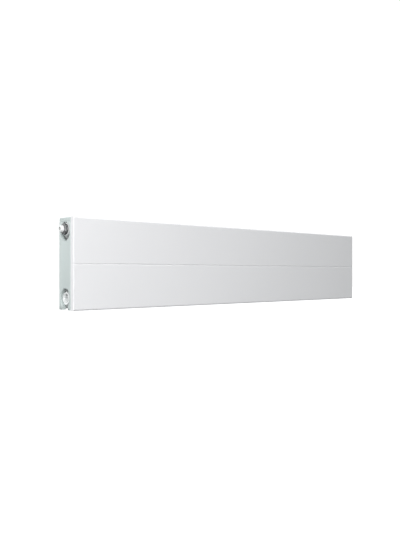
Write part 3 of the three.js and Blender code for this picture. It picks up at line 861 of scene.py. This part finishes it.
def vent_screw():
    """A turned shank with a squared end, which a slot crosses."""
    shoulder = HEX_OUTER + SCREW_SHOULDER
    slot_floor = SCREW_TOP - SCREW_SLOT_DEPTH
    bm = bmesh.new()
    lathe(bm, [
        (SCREW_INNER, 0), (SCREW_INNER, SCREW_RADIUS - SCREW_CHAMFER),
        (SCREW_INNER + SCREW_CHAMFER, SCREW_RADIUS), (shoulder, SCREW_RADIUS), (shoulder, 0)],
        (HUB_Y, VENT_Z), "X", -1, 48)
    turns = arc(0, 0, SCREW_RADIUS, 0, 360, 48)[:-1]
    square = [
        (HUB_Y + max(-SCREW_SQUARE, min(SCREW_SQUARE, u)),
         VENT_Z + max(-SCREW_SQUARE, min(SCREW_SQUARE, v))) for u, v in turns]
    prism(bm, square, -slot_floor, -shoulder, "X")
    for side in (-1, 1):
        jaw = [(y, z) for y, z in square if side * (z - VENT_Z) > SCREW_SLOT_HALF]
        prism(bm, jaw, -SCREW_TOP, -slot_floor, "X")
    piece = make("vent_screw_key", bm)
    # The screw's darkened brass is painted shade for the hole it sits in.
    settle(piece, "bleed_screw", ["vent_screw"], SHADE_DARKENED_BRASS)


def seal(node):
    """An O-ring in place of its plain ring."""
    low, high = work_box(node)
    section = (high.x - low.x) / 2
    radius = (high.z - low.z) / 2 - section
    x = (low.x + high.x) / 2
    side = -1 if x < 0 else 1
    profile = arc(abs(x), radius, section, 0, 360, 16)
    bm = bmesh.new()
    lathe(bm, [*profile[:-1], profile[0]], (HUB_Y, VENT_Z), "X", side, 72)
    piece = make(f"{node}_ring", bm)
    settle(piece, "radiator", [node], RUBBER, 60)


def seat_seal():
    low, high = work_box("vent_seat_seal")
    radius = (high.z - low.z) / 2
    bm = bmesh.new()
    lathe(bm, [
        (-high.x, 0), (-high.x, radius - 0.3), (-high.x + 0.3, radius),
        (-low.x - 0.2, radius), (-low.x, radius - 0.2), (-low.x, 0)],
        (HUB_Y, VENT_Z), "X", -1, 32)
    piece = make("vent_seat_disc", bm)
    settle(piece, "vent_seat", ["vent_seat_seal"], RUBBER)


def blanking_plug():
    low, high = work_box("blanking_plug")
    profile = rounded([
        (low.x, 0), (low.x, SHANK_RADIUS), (FLANGE_BACK, SHANK_RADIUS),
        (FLANGE_BACK, FLANGE_RADIUS), (high.x, FLANGE_RADIUS), (high.x, 0)], 0.7, 5)
    bm = bmesh.new()
    lathe(bm, profile, (HUB_Y, VENT_Z), "X", 1, 96)
    piece = make("blanking_plug_body", bm)
    bm = bmesh.new()
    prism(bm, hex_outline(KEY_ACROSS, HUB_Y, VENT_Z), HALF - KEY_DEPTH, HALF + 5, "X")
    cut(piece, bm)
    bevel(piece, 0.2, 2, 45)
    settle(piece, "radiator", ["blanking_plug"], NICKEL)


# ---- Camera, light and floor ----

CAMERA_OFFSET = Vector((-0.597, -1.101, 0.0787))
CAMERA_TURN = math.radians(-40.73)
LENS = 38.1
SHIFT_Y = -0.0023
FLOOR_DROP = 0.75
FLOOR_HALF = 30.0
FLOOR_GREY = 0.25
SEEN_WHITE = 1.1
AIM = (-0.5, -0.07, -0.04)
SKY = (0.29, 0.88)
BACKDROP = 0.3


def add_camera():
    data = bpy.data.cameras.new("camera")
    data.sensor_width = 36
    data.lens = LENS
    data.shift_y = SHIFT_Y
    data.clip_start = 0.01
    camera = bpy.data.objects.new("camera", data)
    camera.location = PLATE_LOW + CAMERA_OFFSET
    camera.rotation_euler = (math.radians(90), 0, CAMERA_TURN)
    bpy.context.scene.collection.objects.link(camera)
    bpy.context.scene.camera = camera


def add_light(name, location, target, size, power):
    data = bpy.data.lights.new(name, "AREA")
    data.shape = "RECTANGLE"
    data.size, data.size_y = size
    data.energy = power
    light = bpy.data.objects.new(name, data)
    light.location = location
    aim = Vector(target) - Vector(location)
    light.rotation_euler = aim.to_track_quat("-Z", "Y").to_euler()
    bpy.context.scene.collection.objects.link(light)


def add_world():
    """White where it is seen; as light, brighter overhead and towards the backdrop."""
    world = bpy.data.worlds.new("studio")
    world.use_nodes = True
    bpy.context.scene.world = world
    tree = world.node_tree
    tree.nodes.clear()
    link = tree.links.new
    place = tree.nodes.new("ShaderNodeTexCoord")
    split = tree.nodes.new("ShaderNodeSeparateXYZ")
    link(place.outputs["Generated"], split.inputs["Vector"])

    def ramp(axis, start, end, low, high):
        node = tree.nodes.new("ShaderNodeMapRange")
        node.inputs["From Min"].default_value = start
        node.inputs["From Max"].default_value = end
        node.inputs["To Min"].default_value = low
        node.inputs["To Max"].default_value = high
        link(split.outputs[axis], node.inputs["Value"])
        return node.outputs["Result"]

    total = tree.nodes.new("ShaderNodeMath")
    total.operation = "ADD"
    link(ramp("Z", 0, 1, *SKY), total.inputs[0])
    link(ramp("Y", -0.2, 0.5, 0, BACKDROP), total.inputs[1])
    surround = tree.nodes.new("ShaderNodeBackground")
    surround.inputs["Color"].default_value = (0.97, 1.0, 1.0, 1)
    link(total.outputs["Value"], surround.inputs["Strength"])
    seen = tree.nodes.new("ShaderNodeBackground")
    seen.inputs["Strength"].default_value = SEEN_WHITE
    seen.inputs["Color"].default_value = (1, 1, 1, 1)
    rays = tree.nodes.new("ShaderNodeLightPath")
    pick = tree.nodes.new("ShaderNodeMixShader")
    out = tree.nodes.new("ShaderNodeOutputWorld")
    link(rays.outputs["Is Camera Ray"], pick.inputs["Fac"])
    link(surround.outputs["Background"], pick.inputs[1])
    link(seen.outputs["Background"], pick.inputs[2])
    link(pick.outputs["Shader"], out.inputs["Surface"])


def add_floor():
    size = FLOOR_HALF
    level = PLATE_LOW.z - FLOOR_DROP
    mesh = bpy.data.meshes.new("floor")
    corners = [(-size, -size), (size, -size), (size, size), (-size, size)]
    mesh.from_pydata([(x, y, level) for x, y in corners], [], [(0, 1, 2, 3)])
    floor = bpy.data.objects.new("floor", mesh)
    bpy.context.scene.collection.objects.link(floor)
    nodes = Nodes("pale_floor", (FLOOR_GREY, FLOOR_GREY, FLOOR_GREY), 0.8)
    nodes.set("Emission Color", (1, 1, 1, 1))
    rays = nodes.tree.nodes.new("ShaderNodeLightPath")
    nodes.link(rays.outputs["Is Camera Ray"], nodes.shader.inputs["Emission Strength"])
    mesh.materials.append(nodes.material)


# ---- The scene ----

add_camera()
add_world()
add_floor()
add_light("key", (-1.73, -1.1, 0.45), AIM, (1.1, 1.1), 22)
add_light("front", (-0.6, -1.6, 0.5), AIM, (1.2, 1.2), 6)
add_light("top", (0.1, 0.5, 1.3), (-0.2, 0, 0), (1.6, 1.2), 12)

front_plate()
top_grille()
convector()
seat_seal()
vent_plug()
vent_nozzle()
vent_screw()
blanking_plug()
seal("vent_plug_seal")
seal("blanking_plug_seal")
pressed_shell("front_panel_outer_shell", -1)
pressed_shell("front_panel_inner_shell", 1)
pressed_shell("rear_panel_inner_shell", -1)
pressed_shell("rear_panel_outer_shell", 1)
for end, side in ENDS:
    side_cover(end, side)
    refine(f"plate_clip_{end}", "radiator", ZINC, 0.2)
    for level in LEVELS:
        tee(level, end, side)
        socket(level, end, side)
        weld_bead(level, end, side)
        refine(f"lug_{level}_{end}", "radiator", PANEL_ENAMEL, 0.4, 3)
for level in LEVELS:
    refine(f"bonding_strip_{level}", "radiator", FOAM, 0.3)

scene = bpy.context.scene
scene.view_settings.view_transform = "Standard"
scene.view_settings.look = "None"
